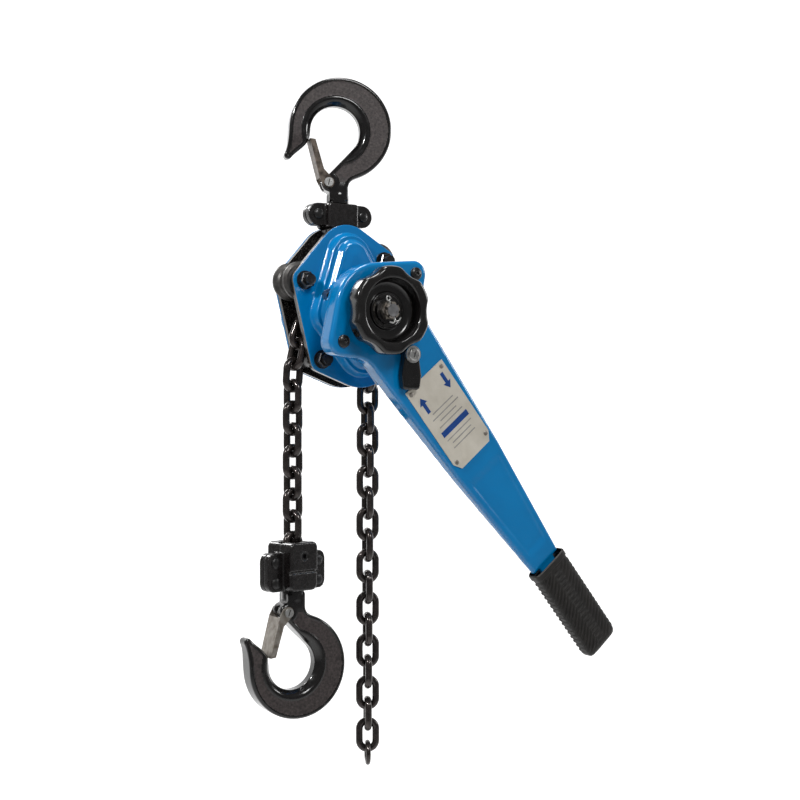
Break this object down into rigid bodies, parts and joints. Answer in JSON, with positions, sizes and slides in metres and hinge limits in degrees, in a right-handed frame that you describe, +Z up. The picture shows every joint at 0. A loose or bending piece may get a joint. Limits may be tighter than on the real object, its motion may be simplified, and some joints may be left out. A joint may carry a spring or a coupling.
{
  "type": "lever chain hoist",
  "caption": "Hand lever chain hoist: a geared body hangs from a swivel hook with a safety latch, and a ratchet lever and hand wheel draw a load chain with a swivel bottom hook.",
  "frame": {"origin": "highest point of the top hook's bowl, on the hook's swivel axis, where a load ring or beam bears", "axes": "+Z up along the top hook's swivel axis; the drive shaft runs along Y with the hand wheel facing -Y; +X is the tail side of the chain"},
  "size_m": [0.4014, 0.155, 0.6801],
  "materials": {
    "blue_paint": "gloss enamel",
    "black_paint": "semi-gloss enamel",
    "forged_black": "forged, brown-black scale with glossy black edges",
    "black_chain": "blackened alloy chain",
    "zinc_steel": "bright zinc plate",
    "machined_steel": "machined and oiled",
    "black_steel": "black oxide fasteners",
    "bronze_bush": "plain bronze",
    "brake_lining": "moulded friction lining",
    "grip_rubber": "ribbed moulded rubber",
    "label_foil": "printed pale plate",
    "roller_grey": "dark grey ringed roller"
  },
  "bodies": {
    "top_hook": {"top_hook": "forged_black", "top_latch_pin": "zinc_steel", "top_latch_spring": "zinc_steel"},
    "top_latch": {"top_latch": "zinc_steel"},
    "top_yoke": {"top_yoke_front": "black_paint", "top_yoke_rear": "black_paint", "top_yoke_rivets": "black_steel"},
    "frame": {"front_side_plate": "black_paint", "rear_side_plate": "black_paint", "front_cover": "blue_paint", "gear_case": "blue_paint", "stay_bolts": "black_steel", "stay_bolt_nuts": "black_steel", "bottom_spacers": "black_steel", "chain_stripper": "machined_steel", "frame_pins": "black_steel", "suspension_pin": "black_steel", "sheave_bearings": "bronze_bush", "gear_bushes": "bronze_bush", "ratchet_wheel": "machined_steel", "pawl_springs": "machined_steel", "chain_on_sheave": "black_chain", "chain_leads": "black_chain"},
    "load_roller": {"load_side_roller": "roller_grey"},
    "tail_roller": {"tail_side_roller": "roller_grey"},
    "upper_pawl": {"upper_pawl": "machined_steel"},
    "lower_pawl": {"lower_pawl": "machined_steel"},
    "drive": {"drive_shaft": "machined_steel", "friction_hub": "machined_steel", "friction_discs": "brake_lining", "change_gear": "machined_steel", "handwheel": "black_paint", "nut_washer": "zinc_steel", "castle_nut": "zinc_steel", "split_pin": "zinc_steel"},
    "sheave": {"load_sheave": "machined_steel", "load_gear": "machined_steel"},
    "upper_gear": {"upper_gear": "machined_steel"},
    "lower_gear": {"lower_gear": "machined_steel"},
    "lever": {"lever_front": "blue_paint", "lever_rear": "blue_paint", "lever_casing_bolts": "black_steel", "lever_grip": "grip_rubber", "label_plate": "label_foil", "label_rivets": "zinc_steel"},
    "selector": {"selector_knob": "black_paint", "selector_screw": "zinc_steel", "selector_pawl": "machined_steel"},
    "load_strand": {"load_chain": "black_chain"},
    "bottom_yoke": {"bottom_yoke_front": "black_paint", "bottom_yoke_rear": "black_paint", "bottom_yoke_rivets": "black_steel", "chain_pin": "machined_steel"},
    "bottom_hook": {"bottom_hook": "forged_black", "bottom_latch_pin": "zinc_steel", "bottom_latch_spring": "zinc_steel"},
    "bottom_latch": {"bottom_latch": "zinc_steel"},
    "tail_strand_1": {"tail_chain_1": "black_chain"},
    "tail_strand_2": {"tail_chain_2": "black_chain", "tail_end_ring": "black_chain"}
  },
  "joints": [
    {"name": "top_latch_hinge", "type": "hinge", "parent": "top_hook", "child": "top_latch", "pos_m": [-0.00974, 0.00393, -0.0755], "axis": [0.3746, 0.9272, 0], "range_deg": [0, 36], "stiffness_Nm_per_rad": 0.03, "springref_deg": -17.19},
    {"name": "top_hook_swivel", "type": "hinge", "parent": "top_hook", "child": "top_yoke", "pos_m": [0, 0, -0.11], "axis": [0, 0, 1], "continuous": true},
    {"name": "body_swing", "type": "hinge", "parent": "top_yoke", "child": "frame", "pos_m": [0, 0, -0.13669], "axis": [0, 1, 0], "range_deg": [-18, 18]},
    {"name": "load_roller_spin", "type": "hinge", "parent": "frame", "child": "load_roller", "pos_m": [-0.04804, 0, -0.17341], "axis": [0, 1, 0], "continuous": true},
    {"name": "tail_roller_spin", "type": "hinge", "parent": "frame", "child": "tail_roller", "pos_m": [0.04123, 0, -0.15115], "axis": [0, 1, 0], "continuous": true},
    {"name": "upper_pawl_hinge", "type": "hinge", "parent": "frame", "child": "upper_pawl", "pos_m": [-0.02792, 0, -0.18797], "axis": [0, -1, 0], "range_deg": [0, 8], "stiffness_Nm_per_rad": 0.02, "springref_deg": -11.46},
    {"name": "lower_pawl_hinge", "type": "hinge", "parent": "frame", "child": "lower_pawl", "pos_m": [0.04192, 0, -0.22003], "axis": [0, -1, 0], "range_deg": [0, 8], "stiffness_Nm_per_rad": 0.02, "springref_deg": -11.46},
    {"name": "drive_spin", "type": "hinge", "parent": "frame", "child": "drive", "pos_m": [0.007, 0, -0.204], "axis": [0, 1, 0], "continuous": true},
    {"name": "sheave_spin", "type": "hinge", "parent": "frame", "child": "sheave", "pos_m": [0.007, 0, -0.204], "axis": [0, 1, 0], "continuous": true, "deforming": ["chain_on_sheave"]},
    {"name": "upper_gear_spin", "type": "hinge", "parent": "frame", "child": "upper_gear", "pos_m": [-0.00147, 0, -0.17004], "axis": [0, 1, 0], "continuous": true},
    {"name": "lower_gear_spin", "type": "hinge", "parent": "frame", "child": "lower_gear", "pos_m": [0.01547, 0, -0.23796], "axis": [0, 1, 0], "continuous": true},
    {"name": "lever_swing", "type": "hinge", "parent": "frame", "child": "lever", "pos_m": [0.007, 0, -0.204], "axis": [0, 1, 0], "continuous": true},
    {"name": "selector_turn", "type": "hinge", "parent": "lever", "child": "selector", "pos_m": [0.03793, 0, -0.24458], "axis": [0, -1, 0], "range_deg": [0, 70]},
    {"name": "load_chain_swing", "type": "hinge", "parent": "frame", "child": "load_strand", "pos_m": [-0.0504, 0, -0.26962], "axis": [-0.2079, 0.9781, 0], "range_deg": [-2, 15]},
    {"name": "hook_block_swing", "type": "hinge", "parent": "load_strand", "child": "bottom_yoke", "pos_m": [-0.0504, 0, -0.43822], "axis": [-0.2079, 0.9781, 0], "range_deg": [-5, 8]},
    {"name": "bottom_hook_swivel", "type": "hinge", "parent": "bottom_yoke", "child": "bottom_hook", "pos_m": [-0.0504, 0, -0.455], "axis": [0, 0, 1], "continuous": true},
    {"name": "bottom_latch_hinge", "type": "hinge", "parent": "bottom_hook", "child": "bottom_latch", "pos_m": [-0.06089, 0.00055, -0.4918], "axis": [-0.0523, -0.9986, 0], "range_deg": [0, 36], "stiffness_Nm_per_rad": 0.03, "springref_deg": -17.19},
    {"name": "tail_chain_swing", "type": "hinge", "parent": "frame", "child": "tail_strand_1", "pos_m": [0.03746, 0, -0.2497], "axis": [0.0698, 0.9976, 0], "range_deg": [-10, 1]},
    {"name": "tail_chain_bend", "type": "hinge", "parent": "tail_strand_1", "child": "tail_strand_2", "pos_m": [0.03481, 0, -0.41758], "axis": [0.2456, 0.9694, 0], "range_deg": [-10, 1]}
  ],
  "couplings": [
    {"joint": "sheave_spin", "follows": "drive_spin", "ratio": 0.13333},
    {"joint": "upper_gear_spin", "follows": "drive_spin", "ratio": -0.4},
    {"joint": "lower_gear_spin", "follows": "drive_spin", "ratio": -0.4}
  ]
}
